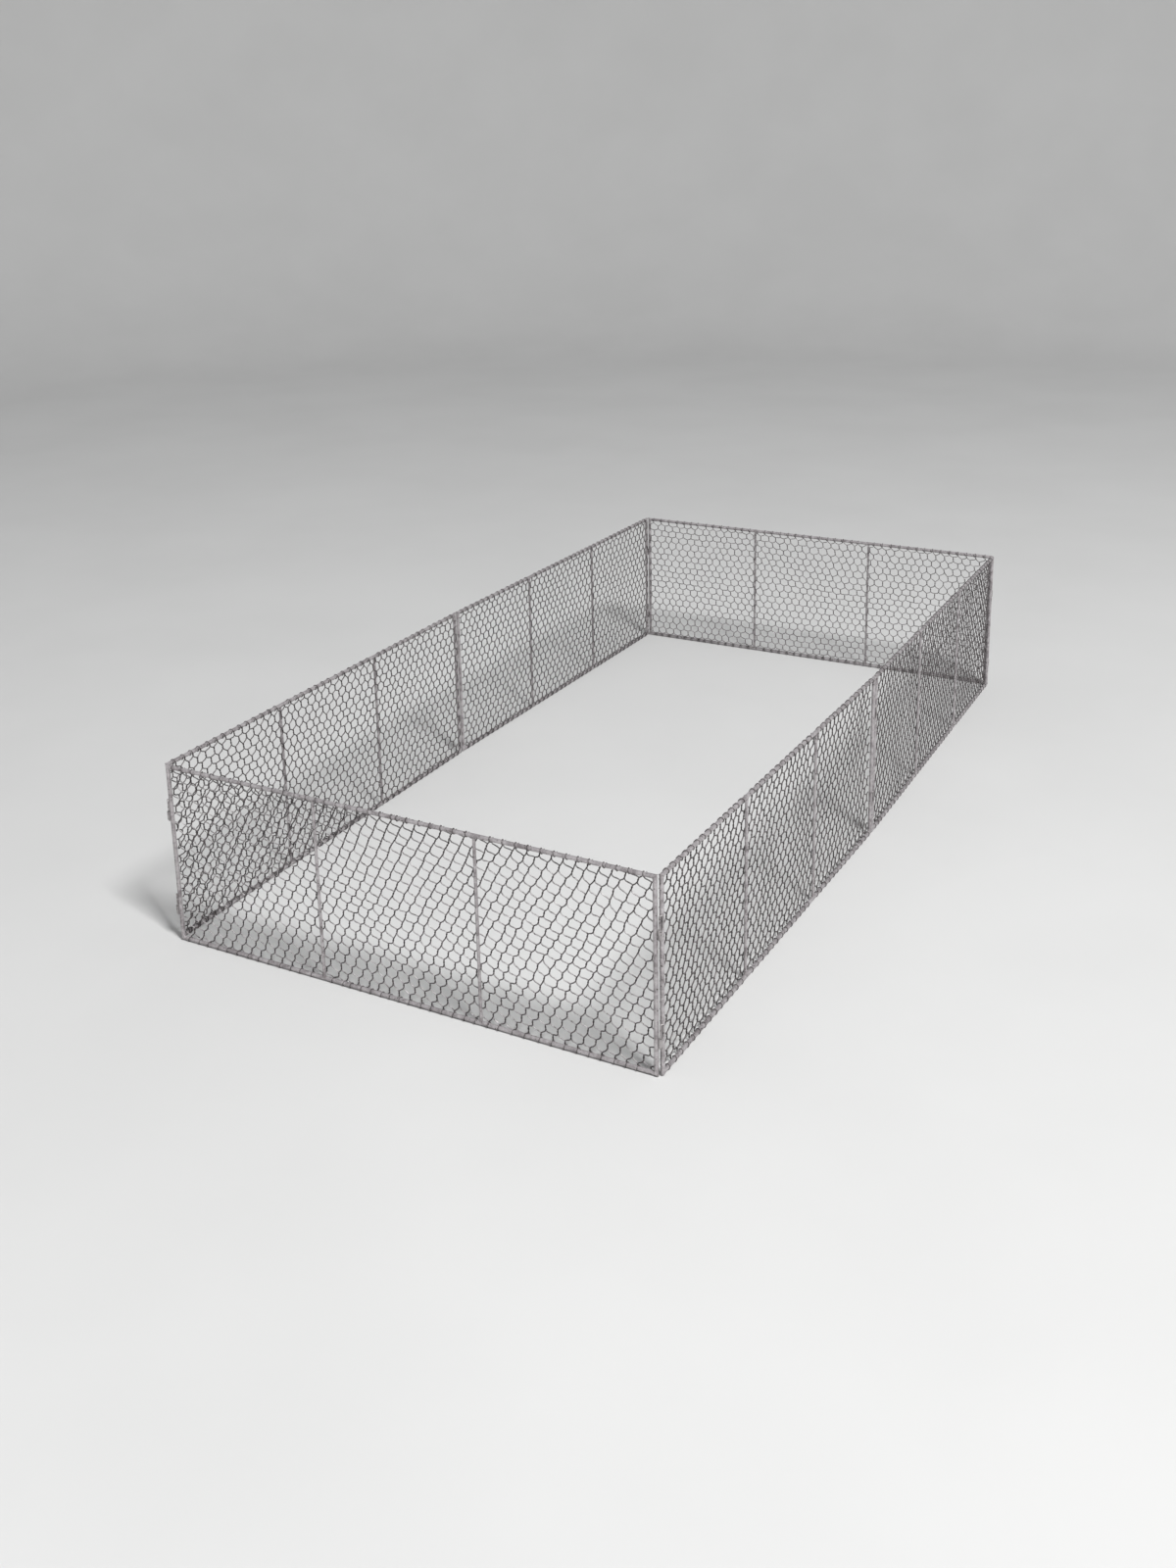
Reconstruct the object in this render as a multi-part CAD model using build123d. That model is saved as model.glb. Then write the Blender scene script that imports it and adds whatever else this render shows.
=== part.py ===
from build123d import *
import os
from math import asin, cos, degrees, radians, sin, sqrt

# A ring of six like netted panels, hooked together at their stiles, that stands on the ground as a pen.
# Millimetres. The origin is on the ground in the middle of the pen, +Y runs along the two-panel sides
# towards the back, and +Z is up.

# Pen
PANEL_HEIGHT = 750.0
PANEL_LINK = 2130.0  # from one hinge axis of a panel to the other
BOW_ANGLE = 0.75  # degrees by which each long-side panel leans outwards in plan

# Tubes
FRAME_OD = 16.0
FRAME_WALL = 1.2
UPRIGHT_OD = 12.0
UPRIGHT_WALL = 1.0
BAYS = 3

# Hook-and-sleeve hinges
ROD_DIAMETER = 6.0
PIN_CLEARANCE = 0.75
SLEEVE_WALL = 3.25
SLEEVE_HEIGHT = 35.0
SLEEVE_STILE_GAP = 1.0
SLEEVE_BELOW_CROWN = 52.0
PIN_TAIL = 6.0
PIN_TIP_BEVEL = 1.0
WELDED_LEG = 38.0
UPPER_CROWN_FROM_TOP = 147.0
LOWER_CROWN_FROM_GROUND = 197.0

# Welds and seats
WELD_SEAT = 0.1
WELD_WIDTH = 4.0
WELD_LENGTH = 28.0

# Netting, as one thin sheet on the inner face
NETTING_DEPTH = 2.0
NETTING_SEAT = 0.2

# Values that follow from those above
FRAME_RADIUS = FRAME_OD / 2
UPRIGHT_RADIUS = UPRIGHT_OD / 2
ROD_RADIUS = ROD_DIAMETER / 2
SLEEVE_BORE_RADIUS = ROD_RADIUS + PIN_CLEARANCE
SLEEVE_RADIUS = SLEEVE_BORE_RADIUS + SLEEVE_WALL
HINGE_OFFSET = FRAME_RADIUS + SLEEVE_STILE_GAP + SLEEVE_RADIUS
STILE_SPACING = PANEL_LINK - 2 * HINGE_OFFSET
RAIL_SPACING = PANEL_HEIGHT - FRAME_OD
TOP_LINE = PANEL_HEIGHT - FRAME_RADIUS
BOTTOM_LINE = FRAME_RADIUS
CROWN_HEIGHTS = (LOWER_CROWN_FROM_GROUND, PANEL_HEIGHT - UPPER_CROWN_FROM_TOP)


def round_bar(radius, length):
    """A solid bar along Z that starts at the origin."""
    return extrude(Circle(radius), length)


def tube(outer_radius, wall, length):
    """A round tube along Z that starts at the origin."""
    return extrude(Circle(outer_radius) - Circle(outer_radius - wall), length)


def mitred_tube(spacing):
    """A frame tube along X, centred, with 45 degree ends whose long side faces +Z."""
    half = spacing / 2
    blank = Pos(-half - FRAME_RADIUS, 0, 0) * Rot(0, 90, 0) * tube(
        FRAME_RADIUS, FRAME_WALL, spacing + FRAME_OD
    )
    side = Polygon(
        (-half - FRAME_RADIUS, FRAME_RADIUS),
        (half + FRAME_RADIUS, FRAME_RADIUS),
        (half - FRAME_RADIUS, -FRAME_RADIUS),
        (-half + FRAME_RADIUS, -FRAME_RADIUS),
        align=None,
    )
    return blank & extrude(Plane.XZ * side, FRAME_OD, both=True)


def top_rail():
    """The top tube of a panel, its axis at the top line."""
    return Pos(PANEL_LINK / 2, 0, TOP_LINE) * mitred_tube(STILE_SPACING)


def bottom_rail():
    """The bottom tube of a panel, which rests on the ground."""
    return Pos(PANEL_LINK / 2, 0, BOTTOM_LINE) * Rot(0, 180, 0) * mitred_tube(STILE_SPACING)


def stiles():
    """The two end tubes of a panel, mitred to the rails."""
    middle = PANEL_HEIGHT / 2
    start = Pos(HINGE_OFFSET, 0, middle) * Rot(0, -90, 0) * mitred_tube(RAIL_SPACING)
    end = Pos(PANEL_LINK - HINGE_OFFSET, 0, middle) * Rot(0, 90, 0) * mitred_tube(RAIL_SPACING)
    return [start, end]


def rail_envelopes():
    """Full round bars along both rails, to cope the uprights to."""
    bar = Rot(0, 90, 0) * round_bar(FRAME_RADIUS + WELD_SEAT, PANEL_LINK)
    return Pos(0, 0, BOTTOM_LINE) * bar + Pos(0, 0, TOP_LINE) * bar


def uprights():
    """The thinner tubes between the rails, one at each bay division."""
    bay = STILE_SPACING / BAYS
    rails = rail_envelopes()
    blank = tube(UPRIGHT_RADIUS, UPRIGHT_WALL, RAIL_SPACING)
    places = [HINGE_OFFSET + bay * step for step in range(1, BAYS)]
    return [Pos(place, 0, BOTTOM_LINE) * blank - rails for place in places]


def stile_envelope(place):
    """A full round bar along a stile, to seat welds against."""
    return Pos(place, 0, 0) * round_bar(FRAME_RADIUS + WELD_SEAT, PANEL_HEIGHT)


def hook(crown):
    """A bent rod: a leg welded to the first stile, a round crown and a pin on the hinge axis."""
    reach = FRAME_RADIUS + WELD_SEAT + ROD_RADIUS
    span = sqrt(HINGE_OFFSET**2 - reach**2)  # the crown passes the stile at a tangent
    lean = degrees(asin(reach / HINGE_OFFSET))
    bend = span / 2
    shoulder = crown - bend
    pin_length = shoulder - crown + SLEEVE_BELOW_CROWN + SLEEVE_HEIGHT + PIN_TAIL
    pin = Pos(0, 0, shoulder - pin_length) * round_bar(ROD_RADIUS, pin_length)
    tip = pin.edges().filter_by(GeomType.CIRCLE).sort_by(Axis.Z)[0]
    section = Pos(0, 0, shoulder) * Circle(ROD_RADIUS)
    bow = revolve(section, axis=Axis((bend, 0, shoulder), (0, 1, 0)), revolution_arc=180)
    leg = Pos(span, 0, shoulder - WELDED_LEG) * round_bar(ROD_RADIUS, WELDED_LEG)
    rod = Rot(0, 0, -lean) * (chamfer(tip, PIN_TIP_BEVEL) + bow + leg)
    middle = shoulder - WELDED_LEG / 2
    weld = Pos(reach - ROD_RADIUS, 0, 0) * Box(ROD_DIAMETER, WELD_WIDTH, WELD_LENGTH)
    weld = Pos(HINGE_OFFSET, 0, middle) * Rot(0, 0, -90 - lean) * weld
    return rod + (weld - stile_envelope(HINGE_OFFSET))


def sleeve(crown):
    """A short upright tube on the last stile, which the next panel's pin drops into."""
    low = crown - SLEEVE_BELOW_CROWN - SLEEVE_HEIGHT
    barrel = Pos(PANEL_LINK, 0, low) * round_bar(SLEEVE_RADIUS, SLEEVE_HEIGHT)
    weld_from = PANEL_LINK - HINGE_OFFSET
    weld = Pos(weld_from, 0, low + SLEEVE_HEIGHT / 2) * Box(
        HINGE_OFFSET - SLEEVE_BORE_RADIUS,
        WELD_WIDTH,
        WELD_LENGTH,
        align=(Align.MIN, Align.CENTER, Align.CENTER),
    )
    bore = Pos(PANEL_LINK, 0, 0) * round_bar(SLEEVE_BORE_RADIUS, PANEL_HEIGHT)
    return barrel + weld - bore - stile_envelope(weld_from)


def hooks():
    """Both hooks of a panel, on its first stile."""
    return [hook(crown) for crown in CROWN_HEIGHTS]


def sleeves():
    """Both sleeves of a panel, on its last stile."""
    return [sleeve(crown) for crown in CROWN_HEIGHTS]


def netting():
    """The netting's outline as a thin sheet, from stile to stile and from rail to rail."""
    near = FRAME_RADIUS + NETTING_SEAT
    return Pos(HINGE_OFFSET, near, BOTTOM_LINE) * Box(
        STILE_SPACING, NETTING_DEPTH, RAIL_SPACING, align=(Align.MIN, Align.MIN, Align.MIN)
    )


def panel_pieces():
    """Each piece of one panel, with the first hinge axis on Z and the pen's inside towards +Y."""
    return {
        "top_rail": top_rail(),
        "bottom_rail": bottom_rail(),
        "stiles": Compound(children=stiles()),
        "uprights": Compound(children=uprights()),
        "netting": netting(),
        "hooks": Compound(children=hooks()),
        "sleeves": Compound(children=sleeves()),
    }


def panel_places():
    """The ring: each panel's first hinge axis and heading, anticlockwise from above."""
    headings = {
        "front": 0,
        "right_near": 90 - BOW_ANGLE,
        "right_far": 90 + BOW_ANGLE,
        "back": 180,
        "left_far": 270 - BOW_ANGLE,
        "left_near": 270 + BOW_ANGLE,
    }
    x = -PANEL_LINK / 2
    y = -PANEL_LINK * cos(radians(BOW_ANGLE))
    places = {}
    for panel, heading in headings.items():
        places[panel] = Pos(x, y, 0) * Rot(0, 0, heading)
        x += PANEL_LINK * cos(radians(heading))
        y += PANEL_LINK * sin(radians(heading))
    return places


def main():
    """Writes one file per piece of each panel."""
    os.makedirs("parts", exist_ok=True)
    pieces = panel_pieces()
    for panel, place in panel_places().items():
        for piece, shape in pieces.items():
            export_step(place * shape, f"parts/{panel}_{piece}.step")


if __name__ == "__main__":
    main()
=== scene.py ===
"""Looks of the chicken wire fence: six framed panels of twisted netting hooked into a pen."""

import sys

import logging
import math
from dataclasses import dataclass, field
from enum import Enum

import bpy
import numpy as np
from mathutils import Matrix, Vector

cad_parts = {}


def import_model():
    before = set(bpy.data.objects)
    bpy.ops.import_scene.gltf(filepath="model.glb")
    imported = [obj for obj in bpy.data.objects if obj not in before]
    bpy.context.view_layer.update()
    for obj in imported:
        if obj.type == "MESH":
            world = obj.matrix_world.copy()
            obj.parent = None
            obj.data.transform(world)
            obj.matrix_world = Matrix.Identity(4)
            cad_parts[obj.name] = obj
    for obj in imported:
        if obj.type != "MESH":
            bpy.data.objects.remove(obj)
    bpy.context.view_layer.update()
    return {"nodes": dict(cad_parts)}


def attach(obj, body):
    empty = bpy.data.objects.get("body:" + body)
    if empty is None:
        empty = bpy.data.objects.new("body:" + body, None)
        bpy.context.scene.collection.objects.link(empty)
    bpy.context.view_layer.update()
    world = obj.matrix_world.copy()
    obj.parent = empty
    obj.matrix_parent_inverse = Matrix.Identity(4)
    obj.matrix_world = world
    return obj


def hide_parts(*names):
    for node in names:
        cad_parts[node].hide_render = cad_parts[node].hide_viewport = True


LOG = logging.getLogger("chicken_wire_fence")
# The point attribute that holds the wires' painted light and shade, 1 painted lit and 0 painted in
# shade.
PAINTED_LIGHT_ATTRIBUTE = "coat"
SEED_STEP = 100
SAME_PLACE = 1e-6


class Strand(Enum):
    """Which wire of a twisted pair a strand is, by the side on which it enters the twist."""

    LEFT = math.pi
    RIGHT = 0.0


class Edge(Enum):
    """Which rail a wire's end is turned round, as the sign of its height from mid panel."""

    TOP = 1
    BOTTOM = -1


@dataclass(frozen=True)
class PanelSizes:
    """The sizes that every panel shares, in metres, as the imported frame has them."""

    link: float = 2.130
    height: float = 0.750
    bow: float = math.radians(0.75)
    bays: int = 3
    frame_radius: float = 0.008
    upright_radius: float = 0.006
    hinge_offset: float = 0.016

    @property
    def stile_lines(self) -> tuple[float, float]:
        """The two stiles' centre lines, along the panel from its first hinge."""
        return self.hinge_offset, self.link - self.hinge_offset

    @property
    def rail_lines(self) -> tuple[float, float]:
        """The two rails' centre lines, up from the panel's foot."""
        return self.frame_radius, self.height - self.frame_radius

    @property
    def upright_lines(self) -> list[float]:
        """The uprights' centre lines, along the panel from its first hinge."""
        first, last = self.stile_lines
        return [first + (last - first) * n / self.bays for n in range(1, self.bays)]


@dataclass(frozen=True)
class PanelPlace:
    """Where one panel stands in the ring: its body, its first hinge axis and its heading."""

    name: str
    start: tuple[float, float]
    heading: float

    @property
    def matrix(self) -> Matrix:
        """From the panel's own axes, along, inwards and up, to the pen's."""
        turn = Matrix.Rotation(self.heading, 4, "Z")
        return Matrix.Translation((*self.start, 0.0)) @ turn


def panel_ring(sizes: PanelSizes) -> list[PanelPlace]:
    """Sets the six panels out round the pen, hinge to hinge.

    Args:
        sizes: The panel sizes.

    Returns:
        The panels' places, from the front one round to the left near one.
    """
    square, bow = math.pi / 2, sizes.bow
    headings = {
        "front": 0.0,
        "right_near": square - bow,
        "right_far": square + bow,
        "back": 2 * square,
        "left_far": 3 * square - bow,
        "left_near": 3 * square + bow,
    }
    x, y = -sizes.link / 2, -sizes.link * math.cos(bow)
    ring = []
    for name, heading in headings.items():
        ring.append(PanelPlace(name, (x, y), heading))
        x += sizes.link * math.cos(heading)
        y += sizes.link * math.sin(heading)
    return ring


@dataclass(frozen=True)
class Weave:
    """How one panel's netting is stretched, how far its twists lean, and how its wires are painted
    lit or in shade.

    The column and row are the steps from one twist to the next, along and up. The painted light is
    1 where a wire is painted fully lit and 0 where it is painted in shade; runs that lean one way,
    runs that lean the other way and the twists each get their own.
    """

    column: tuple[float, float] = (0.0482, 0.0)
    row: tuple[float, float] = (0.0, 0.0365)
    foot_lean: float = 0.0
    top_lean: float = math.radians(5)
    flat_light: float = 0.30
    steep_light: float = 0.20
    twist_light: float = 0.15


# Painted light and shade by panel: the side panels' wires are painted dim, the front panel's runs
# that lean one way painted lit and the rest painted in shade, and the back panel's wires painted
# mostly lit; the twists are painted darkest.
SIDE_WEAVE = Weave()
FRONT_WEAVE = Weave(
    column=(0.0482, -0.0028),
    row=(-0.0032, 0.0372),
    foot_lean=math.radians(1),
    top_lean=math.radians(16),
    flat_light=1.0,
    steep_light=0.22,
    twist_light=0.12,
)
BACK_WEAVE = Weave(flat_light=0.75, steep_light=0.55, twist_light=0.45)


def choose_only(thing: bpy.types.Object) -> None:
    """Leaves one object selected and active, and nothing else.

    Args:
        thing: The object.
    """
    bpy.ops.object.select_all(action="DESELECT")
    thing.select_set(True)
    bpy.context.view_layer.objects.active = thing


def draw_lengths(
    curve: bpy.types.Curve,
    place: PanelPlace,
    lengths: list[np.ndarray],
    widths: list[np.ndarray],
    closed: bool,
) -> bpy.types.Object:
    """Draws lengths of wire or weld along a curve and makes them a mesh.

    Args:
        curve: An empty curve with the round that it is to be drawn with.
        place: The panel's place.
        lengths: The points of each length, which start with along, inwards and up.
        widths: The width at each of those points, as a share of the full one.
        closed: Whether each length ends where it starts.

    Returns:
        The mesh object.
    """
    curve.dimensions = "3D"
    turn = np.array(place.matrix)
    for points, wide in zip(lengths, widths):
        spot = np.column_stack([points[:, :3], np.ones(len(points))]) @ turn.T
        spline = curve.splines.new("POLY")
        spline.use_cyclic_u = closed
        spline.points.add(len(points) - 1)
        spline.points.foreach_set("co", spot.astype(np.float32).ravel())
        spline.points.foreach_set("radius", wide.astype(np.float32))
    drawn = bpy.data.objects.new(curve.name, curve)
    bpy.context.scene.collection.objects.link(drawn)
    choose_only(drawn)
    bpy.ops.object.convert(target="MESH")
    return bpy.context.object


def smooth_and_coat(thing: bpy.types.Object, finish: bpy.types.Material) -> None:
    """Merges the chosen mesh's doubles, turns its faces outwards, smooths it and coats it.

    Args:
        thing: The mesh object, which is the active one.
        finish: Its material.
    """
    bpy.ops.object.mode_set(mode="EDIT")
    bpy.ops.mesh.select_all(action="SELECT")
    bpy.ops.mesh.remove_doubles(threshold=SAME_PLACE)
    bpy.ops.mesh.normals_make_consistent(inside=False)
    bpy.ops.object.mode_set(mode="OBJECT")
    bpy.ops.object.shade_smooth()
    thing.data.materials.clear()
    thing.data.materials.append(finish)


class NodeTree:
    """A short hand for wiring a material's nodes."""

    def __init__(self, name: str) -> None:
        """Starts a material with one output and one surface shader."""
        self.material = bpy.data.materials.new(name)
        self.material.use_nodes = True
        self.tree = self.material.node_tree
        self.tree.nodes.clear()
        self.output = self.add("ShaderNodeOutputMaterial")
        self.surface = self.add("ShaderNodeBsdfPrincipled")
        self.join(self.surface, "BSDF", self.output, "Surface")

    def add(self, kind: str, **settings: object) -> bpy.types.Node:
        """Adds a node.

        Args:
            kind: The node's type.
            settings: Values for its properties, or for its inputs, named with underscores.

        Returns:
            The node.
        """
        node = self.tree.nodes.new(kind)
        for key, value in settings.items():
            if hasattr(node, key):
                setattr(node, key, value)
            else:
                node.inputs[key.replace("_", " ")].default_value = value
        return node

    def join(
        self, start: bpy.types.Node, out: str | int, end: bpy.types.Node, into: str | int
    ) -> None:
        """Links one node's output to another's input.

        Args:
            start: The node that gives.
            out: Its output.
            end: The node that takes.
            into: Its input.
        """
        self.tree.links.new(start.outputs[out], end.inputs[into])

    def ramp(
        self, source: bpy.types.Node, out: str | int, stops: list[tuple[float, tuple]]
    ) -> bpy.types.Node:
        """Adds a colour ramp fed by a node.

        Args:
            source: The node that feeds it.
            out: That node's output.
            stops: Places and colours along the ramp.

        Returns:
            The ramp node.
        """
        node = self.add("ShaderNodeValToRGB")
        elements = node.color_ramp.elements
        while len(elements) < len(stops):
            elements.new(0.5)
        for element, (place, colour) in zip(elements, stops):
            element.position = place
            element.color = (*colour, 1.0)
        self.join(source, out, node, 0)
        return node

    def scale(
        self,
        source: bpy.types.Node,
        out: str | int,
        low: tuple[float, float],
        high: tuple[float, float],
    ) -> bpy.types.Node:
        """Adds a ramp that turns a value into another value.

        Args:
            source: The node that feeds it.
            out: That node's output.
            low: A place along the ramp and the value there.
            high: A place further along and the value there.

        Returns:
            The ramp node.
        """
        return self.ramp(source, out, [(place, (value,) * 3) for place, value in (low, high)])

    def tint(self, colour: tuple[float, float, float]) -> bpy.types.Node:
        """Adds a plain colour to mix with.

        Args:
            colour: The colour.

        Returns:
            The node.
        """
        node = self.add("ShaderNodeRGB")
        node.outputs[0].default_value = (*colour, 1.0)
        return node

    def blend(
        self, share: bpy.types.Node, first: bpy.types.Node, second: bpy.types.Node
    ) -> bpy.types.Node:
        """Mixes two nodes' colours by a third node's value.

        Args:
            share: The node whose value is the second colour's share.
            first: The first colour's node.
            second: The second colour's node.

        Returns:
            The mixing node.
        """
        node = self.add("ShaderNodeMix", data_type="RGBA")
        self.join(share, 0, node, 0)
        for source, into in ((first, 6), (second, 7)):
            self.join(source, 2 if source.bl_idname == "ShaderNodeMix" else 0, node, into)
        return node


@dataclass(frozen=True)
class ZincFinish:
    """Weathered zinc: a mottled coat with a crystal pattern, dull patches and dark flecks.

    A painted light mask, where a piece has one, keeps the coat painted lit at 1 and paints it in
    shade at 0.
    """

    name: str
    bright: tuple[float, float, float]
    dull: tuple[float, float, float]
    crystal: float
    fleck: tuple[float, float, float] = (0.045, 0.036, 0.034)
    patch: float = 34.0
    coat_stops: tuple[float, float, float] = (0.36, 0.48, 0.60)
    spangle_stops: tuple[float, float] = (0.15, 0.85)
    spangle_gain: float = 1.12
    spangle_share: tuple[float, float] = (0.15, 0.55)
    patch_range: tuple[float, float] = (0.3, 0.7)
    fleck_scale: float = 110.0
    fleck_share: float = 0.40
    fleck_edge: float = 0.05
    metallic: float = 0.55
    slick: float = 0.38
    dry: float = 0.62
    bump: float = 0.25
    bump_depth: float = 0.0006
    # The painted light mask, if any, and the painted shade colour that it mixes in where it is 0,
    # patchy from place to place.
    painted_light_mask: str = ""
    painted_shade: tuple[float, float, float] = (0.028, 0.020, 0.021)
    painted_shade_stops: tuple[float, float] = (0.42, 0.62)
    painted_shade_gain: tuple[float, float] = (0.75, 2.2)

    def material(self) -> bpy.types.Material:
        """Builds the finish.

        Returns:
            The material.
        """
        nodes = NodeTree(self.name)
        place = nodes.add("ShaderNodeTexCoord")
        crystals = nodes.add("ShaderNodeTexVoronoi", Scale=self.crystal)
        patches = nodes.add("ShaderNodeTexNoise", Scale=self.patch, Detail=5.0, Roughness=0.62)
        specks = nodes.add("ShaderNodeTexNoise", Scale=self.fleck_scale, Detail=3.0, Roughness=0.55)
        for texture in (crystals, patches, specks):
            nodes.join(place, "Object", texture, "Vector")
        middle = tuple(0.5 * (a + b) for a, b in zip(self.dull, self.bright))
        coat = nodes.ramp(patches, 0, list(zip(self.coat_stops, (self.dull, middle, self.bright))))
        light = tuple(min(1.0, self.spangle_gain * value) for value in self.bright)
        spangle = nodes.ramp(crystals, "Color", list(zip(self.spangle_stops, (middle, light))))
        share = nodes.scale(patches, 0, *zip(self.patch_range, self.spangle_share))
        mixed = nodes.blend(share, coat, spangle)
        # Painted light and shade: where the mask is 0 the zinc turns to the painted shade colour.
        if self.painted_light_mask:
            light_mask = nodes.add("ShaderNodeAttribute", attribute_name=self.painted_light_mask)
            share = nodes.scale(light_mask, "Fac", (0.0, 0.0), (1.0, 1.0))
            shade_tones = [tuple(gain * value for value in self.painted_shade) for gain in self.painted_shade_gain]
            shaded = nodes.ramp(patches, 0, list(zip(self.painted_shade_stops, shade_tones)))
            mixed = nodes.blend(share, shaded, mixed)
        full = self.fleck_share - self.fleck_edge
        grime = nodes.scale(specks, 0, (full, 1.0), (self.fleck_share, 0.0))
        worn = nodes.blend(grime, mixed, nodes.tint(self.fleck))
        nodes.join(worn, 2, nodes.surface, "Base Color")
        gloss = nodes.scale(patches, 0, *zip(self.patch_range, (self.dry, self.slick)))
        nodes.join(gloss, 0, nodes.surface, "Roughness")
        nodes.surface.inputs["Metallic"].default_value = self.metallic
        relief = nodes.add("ShaderNodeBump", Strength=self.bump, Distance=self.bump_depth)
        nodes.join(specks, 0, relief, "Height")
        nodes.join(relief, 0, nodes.surface, "Normal")
        return nodes.material


TUBE_FINISH = ZincFinish(
    "galvanised_tube_coat",
    bright=(0.50, 0.475, 0.485),
    dull=(0.20, 0.178, 0.184),
    crystal=120.0,
    fleck_share=0.37,
)
ROD_FINISH = ZincFinish(
    "galvanised_rod_coat",
    bright=(0.42, 0.40, 0.40),
    dull=(0.16, 0.145, 0.145),
    crystal=260.0,
)
WIRE_FINISH = ZincFinish(
    "galvanised_wire_coat",
    bright=(0.50, 0.482, 0.486),
    dull=(0.15, 0.135, 0.138),
    crystal=420.0,
    fleck_scale=140.0,
    # The wires take their painted light and shade from the netting's point attribute.
    painted_light_mask=PAINTED_LIGHT_ATTRIBUTE,
)
WELD_FINISH = ZincFinish(
    "galvanised_weld_coat",
    bright=(0.44, 0.42, 0.425),
    dull=(0.15, 0.13, 0.13),
    crystal=300.0,
    bump=0.5,
)


@dataclass(frozen=True)
class FloorFinish:
    """A plain pale floor with a faint unevenness."""

    name: str = "pale_floor"
    light: tuple[float, float, float] = (0.63, 0.63, 0.625)
    shade: tuple[float, float, float] = (0.61, 0.61, 0.605)
    stops: tuple[float, float] = (0.35, 0.65)
    roughness: float = 0.9

    def material(self) -> bpy.types.Material:
        """Builds the finish.

        Returns:
            The material.
        """
        nodes = NodeTree(self.name)
        place = nodes.add("ShaderNodeTexCoord")
        cloud = nodes.add("ShaderNodeTexNoise", Scale=0.8, Detail=3.0)
        nodes.join(place, "Object", cloud, "Vector")
        colour = nodes.ramp(cloud, 0, list(zip(self.stops, (self.shade, self.light))))
        nodes.join(colour, 0, nodes.surface, "Base Color")
        nodes.surface.inputs["Roughness"].default_value = self.roughness
        return nodes.material


@dataclass
class Ripple:
    """A smooth seeded unevenness over a panel: a few long waves added up."""

    seed: int
    longest: float
    shortest: float
    count: int = 7
    limit: float = 1.6
    waves: list[tuple[float, float, float]] = field(init=False)

    def __post_init__(self) -> None:
        """Draws the waves."""
        draw = np.random.default_rng(self.seed)
        self.waves = []
        for _ in range(self.count):
            length = draw.uniform(self.shortest, self.longest)
            angle, phase = draw.uniform(0, 2 * math.pi, 2)
            turn = 2 * math.pi / length
            self.waves.append((turn * math.cos(angle), turn * math.sin(angle), phase))

    def at(self, x: np.ndarray, z: np.ndarray) -> np.ndarray:
        """The unevenness at places on the panel, from about -1 to 1.

        Args:
            x: Places along the panel.
            z: Heights.

        Returns:
            One value for each place.
        """
        total = sum(np.sin(a * x + b * z + c) for a, b, c in self.waves)
        return total / math.sqrt(self.count / 2) / self.limit


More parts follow.
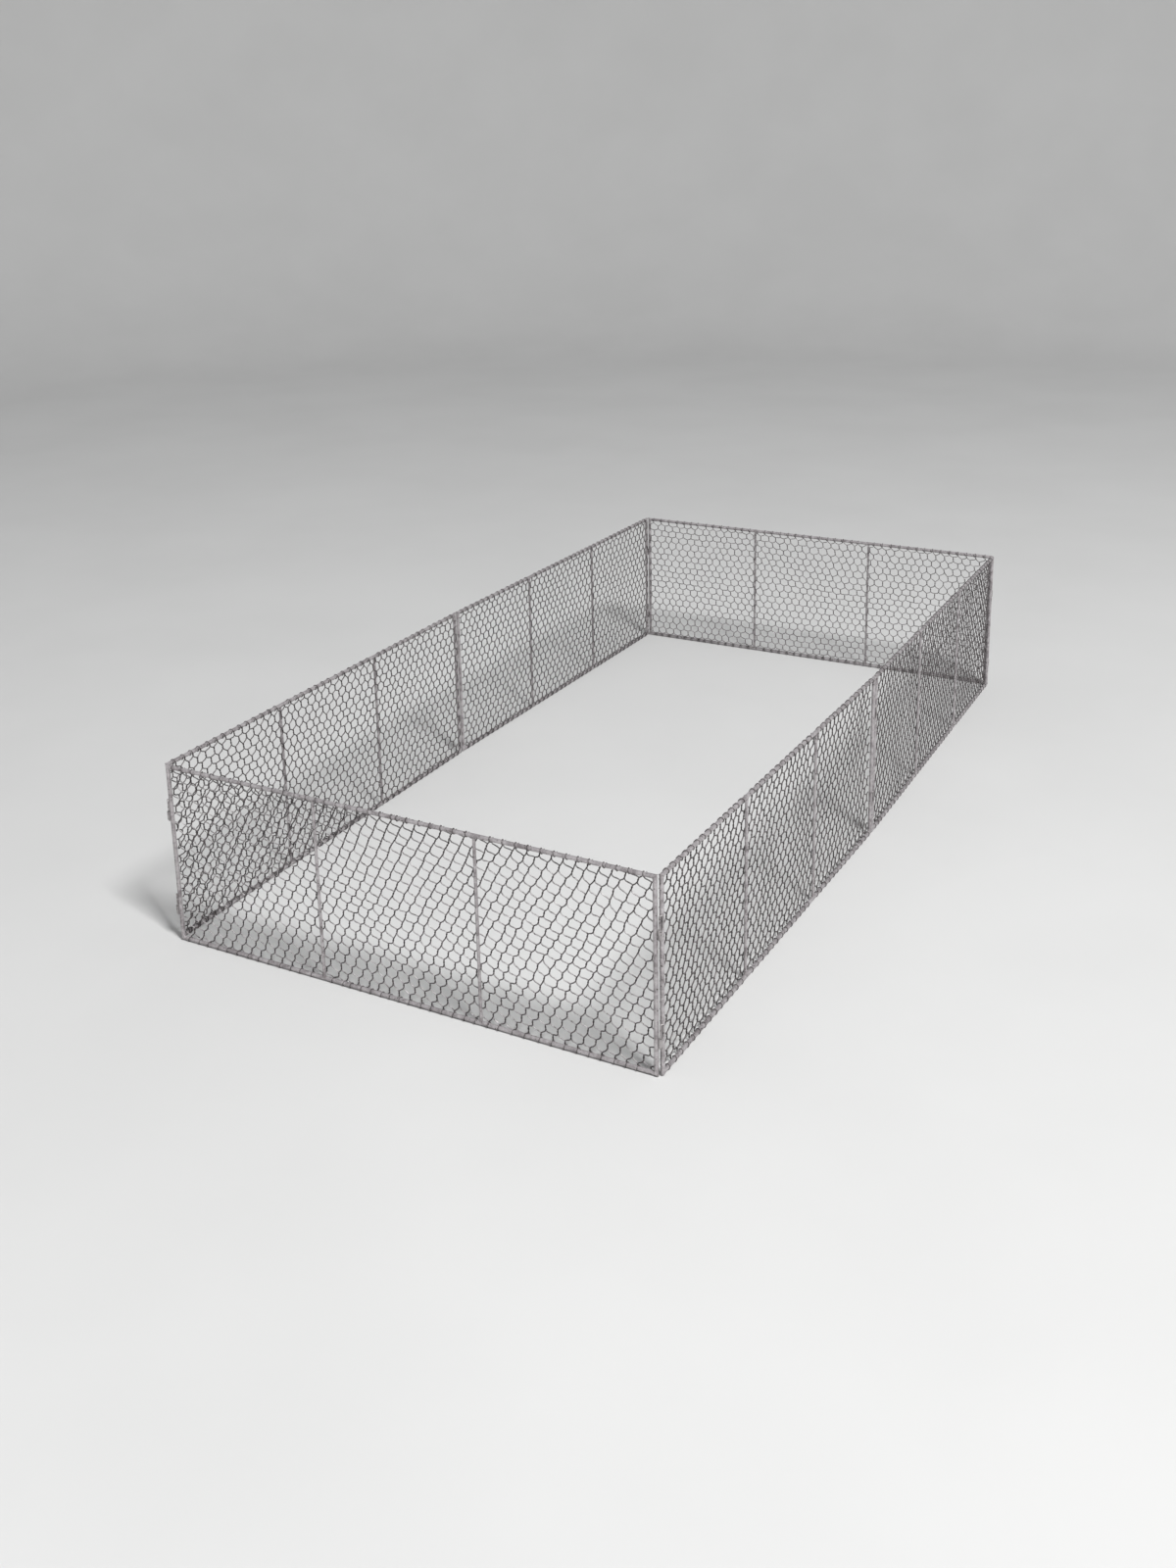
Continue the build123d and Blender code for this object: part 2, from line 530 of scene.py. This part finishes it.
@dataclass
class HexNetting:
    """Twisted hexagonal netting on the inner face of a panel's frame, turned round its rails.

    Each path's points have five numbers: along, inwards, up, the painted light and shade on the
    wire and the wire's width.
    """

    sizes: PanelSizes
    wire: float = 0.0046
    sides: int = 5
    gauge_gain: float = 1.06
    first_height: float = 0.01
    rows_below: int = 3
    rows_above: int = 7
    halves_before: int = 4
    past_end: float = 0.35
    twist: float = 0.0242
    twist_spread: float = 0.12
    twist_limit: float = 0.25
    twist_steps: int = 5
    run_steps: int = 3
    twist_width: float = 0.74
    run_reach: tuple[float, float] = (0.12, 0.28)
    hang: tuple[float, float] = (0.10, 0.40)
    lean_drift: float = math.radians(4.5)
    lean_jitter: float = math.radians(3)
    drift: float = 0.006
    jitter: float = 0.0020
    wave: float = 0.0025
    wave_edge: float = 0.06
    pinch: float = 0.3
    pinch_from: float = 0.01
    pinch_over: float = 0.03
    rest: float = 0.6
    wrap_steps: int = 10
    wrap_turn: float = math.radians(400)
    wrap_shift: float = 0.011
    wrap_width: float = 0.75
    # Painted shade on the wires' turns round the rails.
    wrap_light: float = 0.3
    wrap_from_stile: float = 0.020
    wrap_from_upright: float = 0.011
    stile_lap: float = 0.004
    shortest: float = 2.5
    closest: float = 0.05
    # How far the painted light spreads at random from one run to the next.
    light_spread: float = 0.30

    @property
    def plane(self) -> float:
        """How far in from the frame's centre plane a wire lies where it rests on the frame."""
        return self.sizes.frame_radius + self.wire / 2

    @property
    def gauge_radius(self) -> float:
        """The radius of the round that wires are drawn with, whose few corners lie further out."""
        return self.gauge_gain * self.wire / 2

    def gauge(self) -> bpy.types.Object:
        """Makes the round that every wire is drawn with.

        Returns:
            A closed curve of a few points.
        """
        bpy.ops.object.select_all(action="DESELECT")
        bpy.ops.mesh.primitive_circle_add(vertices=self.sides, radius=self.gauge_radius)
        bpy.ops.object.convert(target="CURVE")
        return bpy.context.object

    def wire_paths(self, weave: Weave, seed: int) -> list[np.ndarray]:
        """Lays every wire of the netting up and down the panel, before it is trimmed.

        Args:
            weave: How the panel's netting hangs and shines.
            seed: The panel's own number for random draws.

        Returns:
            One path for each wire, from the lowest point up.
        """
        draw = np.random.default_rng(seed)
        drift_x, drift_z = Ripple(seed + 1, 0.9, 0.25), Ripple(seed + 2, 0.9, 0.25)
        leaning, bulge = Ripple(seed + 3, 1.4, 0.45), Ripple(seed + 4, 1.1, 0.35)
        column, row = np.array(weave.column), np.array(weave.row)
        rows = np.arange(-self.rows_below, int(self.sizes.height / row[1]) + self.rows_above)
        count = 2 * int((self.sizes.link + self.past_end) / column[0])
        halves = np.arange(-self.halves_before, count)
        grid = halves[:, None, None] / 2 * column + rows[None, :, None] * row
        x, z = grid[..., 0], grid[..., 1] + self.first_height
        shake = draw.normal(0, self.jitter, (2, *x.shape))
        node_x = x + self.drift * drift_x.at(x, z) + shake[0]
        node_z = z + self.drift * drift_z.at(x, z) + shake[1]
        low, high = self.hang
        share = np.clip((z - low) / (high - low), 0.0, 1.0)
        lean = weave.foot_lean + (weave.top_lean - weave.foot_lean) * share**2 * (3 - 2 * share)
        angle = lean + self.lean_drift * leaning.at(x, z)
        angle = angle + draw.normal(0, self.lean_jitter, x.shape)
        # Each run gets a random share of its painted light.
        shine = draw.uniform(1 - self.light_spread, 1 + self.light_spread, x.shape)
        stretch = draw.normal(0, self.twist_spread, x.shape)
        long = self.twist * (1 + stretch.clip(-self.twist_limit, self.twist_limit))
        first, last = self.sizes.stile_lines
        clear = np.minimum(node_x - first, last - node_x) - self.pinch_from
        near = np.clip(clear / self.pinch_over, 0.0, 1.0)
        edge = np.minimum(node_z, self.sizes.height - node_z)
        edge = np.clip(edge / self.wave_edge, 0.0, 1.0)
        half = self.twist_width * self.wire / 2 * (self.pinch + (1 - self.pinch) * near)
        swell = self.wave * near * edge * (0.5 + 0.5 * bulge.at(x, z))
        depth = self.plane + half * self.rest + swell
        paths = []
        for m in range(1, len(halves)):
            points, light_shares = [], []
            for j in range(len(rows)):
                left = (halves[m] - rows[j]) % 2 == 0
                k = m if left else m - 1
                centre = np.array([node_x[k, j], depth[k, j], node_z[k, j]])
                side = Strand.LEFT if left else Strand.RIGHT
                points.append(self._strand(centre, angle[k, j], long[k, j], half[k, j], side))
                light_shares.append(shine[k, j])
            paths.append(self._runs(points, weave, light_shares))
        return paths

    def _strand(
        self, centre: np.ndarray, lean: float, long: float, half: float, side: Strand
    ) -> np.ndarray:
        """One wire's turn round its neighbour.

        Args:
            centre: The middle of the twist.
            lean: The twist's lean from upright.
            long: The twist's length.
            half: How far the wire's own line lies from the twist's.
            side: The side on which the wire enters.

        Returns:
            The points of that turn, from the lowest up.
        """
        share = np.linspace(0, 1, self.twist_steps + 1)
        turn = side.value + 2 * math.pi * share
        across = np.array([math.cos(lean), 0.0, -math.sin(lean)])
        along = np.array([math.sin(lean), 0.0, math.cos(lean)])
        out = np.array([0.0, 1.0, 0.0])
        return (
            centre
            + np.outer(half * np.cos(turn), across)
            + np.outer(half * np.sin(turn), out)
            + np.outer(long * (share - 0.5), along)
        )

    def _runs(self, twists: list[np.ndarray], weave: Weave, shine: list[float]) -> np.ndarray:
        """Joins a wire's twists with bowed runs.

        Args:
            twists: The wire's points in each twist, from the lowest up.
            weave: How the panel's netting hangs and shines.
            shine: The wire's own random share of the weave's painted light above each twist.

        Returns:
            The wire's whole path, with its painted light and shade and the wire's width.
        """
        # The twists get their own painted light, darker than the runs'.
        path = [self._with_light(twists[0], weave.twist_light, self.twist_width)]
        share = np.arange(1, self.run_steps)[:, None] / self.run_steps
        for below, above, own in zip(twists, twists[1:], shine):
            start, end = below[-1], above[0]
            long = np.linalg.norm(end - start)
            rise = below[-1] - below[0]
            fall = above[-1] - above[0]
            first = start + self.run_reach[0] * long * rise / np.linalg.norm(rise)
            second = end - self.run_reach[1] * long * fall / np.linalg.norm(fall)
            bowed = (
                (1 - share) ** 3 * start
                + 3 * (1 - share) ** 2 * share * first
                + 3 * (1 - share) * share**2 * second
                + share**3 * end
            )
            # Painted light: a run that leans one way gets the flat light, one that leans the other
            # way the steep light.
            coat = own * (weave.flat_light if end[0] < start[0] else weave.steep_light)
            path[-1][-1, 3:] = coat, 1.0
            path.append(self._with_light(bowed, coat))
            path.append(self._with_light(above, weave.twist_light, self.twist_width))
            path[-1][0, 3:] = coat, 1.0
        return np.vstack(path)

    @staticmethod
    def _with_light(points: np.ndarray, coat: float, width: float = 1.0) -> np.ndarray:
        """Adds the painted light and shade and the wire's width to points.

        Args:
            points: Points along, inwards and up.
            coat: The painted light and shade, 1 painted lit and 0 painted in shade.
            width: The wire's width as a share of the full one.

        Returns:
            The points with two more numbers.
        """
        return np.column_stack([points, np.full((len(points), 2), (coat, width))])

    def _trim(self, path: np.ndarray) -> list[tuple[np.ndarray, list[Edge | None]]]:
        """Cuts a wire where it reaches the frame's centre lines.

        Args:
            path: The wire's whole path.

        Returns:
            Each length that is left, with the rail that its first and last point reach, if any.
        """
        low = np.array([self.sizes.stile_lines[0] + self.stile_lap, self.sizes.rail_lines[0]])
        high = np.array([self.sizes.stile_lines[1] - self.stile_lap, self.sizes.rail_lines[1]])
        flat = path[:, [0, 2]]
        inside = np.all((flat > low) & (flat < high), axis=1)
        changes = np.flatnonzero(np.diff(inside.astype(int)))
        lengths = []
        for begin, end in zip(changes[:-1], changes[1:]):
            if not inside[begin + 1]:
                continue
            cuts, edges = [], []
            for outer, inner in ((begin, begin + 1), (end + 1, end)):
                step = flat[outer] - flat[inner]
                limit = np.where(step > 0, high, low)
                with np.errstate(divide="ignore", invalid="ignore"):
                    shares = np.where(np.abs(step) > 1e-9, (limit - flat[inner]) / step, 2.0)
                share = float(np.clip(shares.min(), 0.0, 1.0))
                cuts.append(path[inner] + share * (path[outer] - path[inner]))
                up = int(shares.argmin()) == 1
                edges.append((Edge.TOP if step[1] > 0 else Edge.BOTTOM) if up else None)
            lengths.append((np.vstack([cuts[0], path[begin + 1 : end + 1], cuts[1]]), edges))
        return lengths

    def _wrap(self, point: np.ndarray, edge: Edge) -> np.ndarray | None:
        """Turns a wire's end round a rail.

        Args:
            point: Where the wire reaches the rail's centre line.
            edge: Which rail it is.

        Returns:
            The points of the turn, or None where an upright or a stile is in its way.
        """
        x = point[0]
        first, last = self.sizes.stile_lines
        ends = x, x + self.wrap_shift
        if ends[0] < first + self.wrap_from_stile or ends[1] > last - self.wrap_from_stile:
            return None
        room = self.wrap_from_upright
        if any(ends[0] - room < upright < ends[1] + room for upright in self.sizes.upright_lines):
            return None
        lower, upper = self.sizes.rail_lines
        centre = upper if edge is Edge.TOP else lower
        radius = self.sizes.frame_radius + self.wrap_width * self.gauge_radius
        share = np.linspace(0, 1, self.wrap_steps + 1)[1:]
        turn = self.wrap_turn * share
        points = np.column_stack(
            [
                x + self.wrap_shift * share,
                radius * np.cos(turn),
                centre + edge.value * radius * np.sin(turn),
            ]
        )
        # The turns round the rails get painted shade.
        return self._with_light(points, self.wrap_light, self.wrap_width)

    def lengths(self, weave: Weave, seed: int) -> list[np.ndarray]:
        """Every length of wire of the netting, trimmed and with its ends turned round the rails.

        Args:
            weave: How the panel's netting hangs and shines.
            seed: The panel's own number for random draws.

        Returns:
            The paths, in the panel's own axes.
        """
        done = []
        for number, path in enumerate(self.wire_paths(weave, seed)):
            for points, edges in self._trim(path):
                if np.linalg.norm(points[0, :3] - points[-1, :3]) < self.shortest * self.wire:
                    continue
                turned = [
                    self._wrap(points[end], edge) if number % 2 == 0 and edge is not None else None
                    for end, edge in zip((0, -1), edges)
                ]
                if turned[0] is not None:
                    points = np.vstack([turned[0][::-1], points])
                if turned[1] is not None:
                    points = np.vstack([points, turned[1]])
                steps = np.linalg.norm(np.diff(points[:, :3], axis=0), axis=1)
                done.append(points[np.append(True, steps > self.closest * self.wire)])
        return done

    def build(
        self, place: PanelPlace, weave: Weave, seed: int, finish: bpy.types.Material
    ) -> bpy.types.Object:
        """Draws one panel's netting as wires and makes it a mesh.

        Args:
            place: The panel's place.
            weave: How the panel's netting hangs and shines.
            seed: The panel's own number for random draws.
            finish: The wire's material.

        Returns:
            The netting.
        """
        gauge = self.gauge()
        curve = bpy.data.curves.new(f"{place.name}_woven_netting", "CURVE")
        curve.bevel_mode = "OBJECT"
        curve.bevel_object = gauge
        curve.use_fill_caps = True
        lengths = self.lengths(weave, seed)
        widths = [points[:, 4] for points in lengths]
        netting = draw_lengths(curve, place, lengths, widths, closed=False)
        # The wires' painted light and shade go onto the mesh's points for the wire finish to read.
        light_shares = np.repeat(np.concatenate([points[:, 3] for points in lengths]), self.sides)
        tips = [coat for points in reversed(lengths) for coat in points[[-1, 0], 3]]
        caps = np.repeat(tips, self.sides)
        light_mask = netting.data.attributes.new(PAINTED_LIGHT_ATTRIBUTE, "FLOAT", "POINT")
        light_mask.data.foreach_set("value", np.concatenate([caps, light_shares]).astype(np.float32))
        smooth_and_coat(netting, finish)
        bpy.data.objects.remove(gauge)
        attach(netting, place.name)
        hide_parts(f"{place.name}_netting")
        LOG.info("%s: %d faces", netting.name, len(netting.data.polygons))
        return netting


@dataclass
class WeldBeads:
    """The beads of weld round a panel's mitred corners and round its uprights' ends."""

    sizes: PanelSizes
    bead: float = 0.0015
    points_round: int = 28
    ripple: float = 0.14
    ripple_limits: tuple[float, float] = (0.75, 1.3)

    def rings(self) -> list[np.ndarray]:
        """Lays the beads' lines on the tubes.

        Returns:
            One closed ring of points, along, inwards and up, for each bead.
        """
        turn = np.linspace(0, 2 * math.pi, self.points_round, endpoint=False)
        radius, thin = self.sizes.frame_radius, self.sizes.upright_radius
        middle = self.sizes.height / 2
        rings = []
        for rail in self.sizes.rail_lines:
            away = math.copysign(1.0, rail - middle)
            for side, stile in zip((-1.0, 1.0), self.sizes.stile_lines):
                out = radius * np.cos(turn)
                depth = radius * np.sin(turn)
                rings.append(np.column_stack([stile + side * out, depth, rail + away * out]))
            for upright in self.sizes.upright_lines:
                depth = thin * np.sin(turn)
                seat = rail - away * np.sqrt(radius**2 - depth**2)
                rings.append(np.column_stack([upright + thin * np.cos(turn), depth, seat]))
        return rings

    def build(self, place: PanelPlace, seed: int, finish: bpy.types.Material) -> bpy.types.Object:
        """Draws one panel's beads as closed curves and makes them a mesh.

        Args:
            place: The panel's place.
            seed: The panel's own number for random draws.
            finish: The weld's material.

        Returns:
            The beads.
        """
        draw = np.random.default_rng(seed)
        curve = bpy.data.curves.new(f"{place.name}_weld_beads", "CURVE")
        curve.bevel_depth = self.bead
        curve.bevel_resolution = 1
        rings = self.rings()
        widths = [
            draw.normal(1, self.ripple, len(points)).clip(*self.ripple_limits) for points in rings
        ]
        beads = draw_lengths(curve, place, rings, widths, closed=True)
        smooth_and_coat(beads, finish)
        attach(beads, place.name)
        LOG.info("%s: %d faces", beads.name, len(beads.data.polygons))
        return beads


@dataclass
class SteelFrames:
    """The panels' packed tubes, hooks and sleeves, which only need their finish."""

    tube: ZincFinish = TUBE_FINISH
    rod: ZincFinish = ROD_FINISH

    def dress(self, nodes: dict[str, bpy.types.Object]) -> None:
        """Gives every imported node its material.

        Args:
            nodes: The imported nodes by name.
        """
        tube, rod = self.tube.material(), self.rod.material()
        for name, node in nodes.items():
            coat = rod if name.endswith(("hooks", "sleeves")) else tube
            if not node.material_slots:
                node.data.materials.append(coat)
            for slot in node.material_slots:
                slot.link = "OBJECT"
                slot.material = coat


@dataclass(frozen=True)
class Lamp:
    """A square soft light that faces the middle of the pen."""

    name: str
    spot: tuple[float, float, float]
    power: float
    size: float


@dataclass
class Studio:
    """The floor with its curved rim, the lights and the camera."""

    floor_radius: float = 14.0
    floor_sides: int = 96
    rim_radius: float = 5.0
    rim_height: float = 10.0
    rim_steps: int = 8
    floor_level: float = -0.0034
    sky_colour: tuple[float, float, float] = (0.97, 0.98, 1.0)
    sky_strength: float = 0.32
    key: Lamp = Lamp("key", (9.6, -6.7, 15.4), 3700.0, 3.2)
    fill: Lamp = Lamp("fill", (-8.0, -9.0, 7.0), 80.0, 6.0)
    sensor: float = 36.0
    sight: float = 200.0
    focal: float = 36.57
    shift: tuple[float, float] = (0.0, -0.15)
    azimuth: float = math.radians(28.447)
    elevation: float = math.radians(15.293)
    roll: float = math.radians(-1.113)
    distance: float = 10.547
    target: tuple[float, float, float] = (-1.710, 2.547, 0.375)

    def camera(self) -> None:
        """Sets the camera at the photograph's viewing angle."""
        az, el, roll = self.azimuth, self.elevation, self.roll
        back = Vector((math.sin(az) * math.cos(el), -math.cos(az) * math.cos(el), math.sin(el)))
        right = Vector((math.cos(az), math.sin(az), 0.0))
        up = back.cross(right)
        across = right * math.cos(roll) + up * math.sin(roll)
        top = up * math.cos(roll) - right * math.sin(roll)
        lens = bpy.data.cameras.new("camera")
        lens.lens = self.focal
        lens.sensor_width = self.sensor
        lens.shift_x, lens.shift_y = self.shift
        lens.clip_end = self.sight
        camera = bpy.data.objects.new("camera", lens)
        turn = Matrix((across, top, back)).transposed().to_4x4()
        camera.matrix_world = Matrix.Translation(Vector(self.target) + back * self.distance) @ turn
        bpy.context.scene.collection.objects.link(camera)
        bpy.context.scene.camera = camera

    def rim(self) -> list[tuple[float, float]]:
        """Sets out the floor's rim, a quarter round and then a wall.

        Returns:
            The radius and the height of each edge loop, outwards from the flat floor.
        """
        bends = [math.pi / 2 * step / self.rim_steps for step in range(1, self.rim_steps + 1)]
        loops = [
            (
                self.floor_radius + self.rim_radius * math.sin(bend),
                self.rim_radius * (1 - math.cos(bend)),
            )
            for bend in bends
        ]
        return [*loops, (loops[-1][0], self.rim_height)]

    def floor(self) -> None:
        """Lays the pale floor and sweeps its rim up into a wall."""
        bpy.ops.object.select_all(action="DESELECT")
        bpy.ops.mesh.primitive_circle_add(
            vertices=self.floor_sides,
            radius=self.floor_radius,
            fill_type="NGON",
            location=(0.0, 0.0, self.floor_level),
        )
        floor = bpy.context.object
        floor.name = "floor"
        bpy.ops.object.mode_set(mode="EDIT")
        bpy.ops.mesh.select_all(action="DESELECT")
        bpy.ops.mesh.select_mode(type="EDGE")
        bpy.ops.mesh.select_all(action="SELECT")
        bpy.ops.mesh.region_to_loop()
        radius, height = self.floor_radius, 0.0
        for wide, high in self.rim():
            rise, grow = (0.0, 0.0, high - height), (wide / radius, wide / radius, 1.0)
            bpy.ops.mesh.extrude_edges_move(TRANSFORM_OT_translate={"value": rise})
            bpy.ops.transform.resize(value=grow, center_override=(0.0, 0.0, 0.0))
            radius, height = wide, high
        bpy.ops.mesh.select_all(action="SELECT")
        bpy.ops.mesh.normals_make_consistent(inside=True)
        bpy.ops.object.mode_set(mode="OBJECT")
        bpy.ops.object.shade_smooth()
        floor.data.materials.append(FloorFinish().material())
        choose_only(floor)
        bpy.ops.object.transform_apply(location=True, rotation=True, scale=True)

    def lights(self) -> None:
        """Hangs a soft key high on the right, a weak fill on the left, and a pale sky."""
        world = bpy.data.worlds.new("studio")
        bpy.context.scene.world = world
        world.use_nodes = True
        sky = world.node_tree.nodes["Background"]
        sky.inputs["Color"].default_value = (*self.sky_colour, 1.0)
        sky.inputs["Strength"].default_value = self.sky_strength
        for lamp in (self.key, self.fill):
            glow = bpy.data.lights.new(lamp.name, "AREA")
            glow.energy, glow.size = lamp.power, lamp.size
            light = bpy.data.objects.new(lamp.name, glow)
            light.location = lamp.spot
            light.rotation_euler = Vector(lamp.spot).to_track_quat("Z", "Y").to_euler()
            bpy.context.scene.collection.objects.link(light)
        bpy.context.scene.view_settings.view_transform = "Standard"


def main() -> None:
    """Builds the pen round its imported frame, piece by piece."""
    logging.basicConfig(level=logging.INFO, format="%(name)s: %(message)s", stream=sys.stdout)
    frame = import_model()
    sizes = PanelSizes()
    SteelFrames().dress(frame["nodes"])
    LOG.info("packed nodes dressed: %d", len(frame["nodes"]))
    netting, welds = HexNetting(sizes), WeldBeads(sizes)
    wire_coat, weld_coat = WIRE_FINISH.material(), WELD_FINISH.material()
    weaves = {"front": FRONT_WEAVE, "back": BACK_WEAVE}
    for number, place in enumerate(panel_ring(sizes), start=1):
        seed = SEED_STEP * number
        netting.build(place, weaves.get(place.name, SIDE_WEAVE), seed, wire_coat)
        welds.build(place, seed + SEED_STEP // 2, weld_coat)
    studio = Studio()
    studio.floor()
    studio.lights()
    studio.camera()


if __name__ == "__main__":
    main()
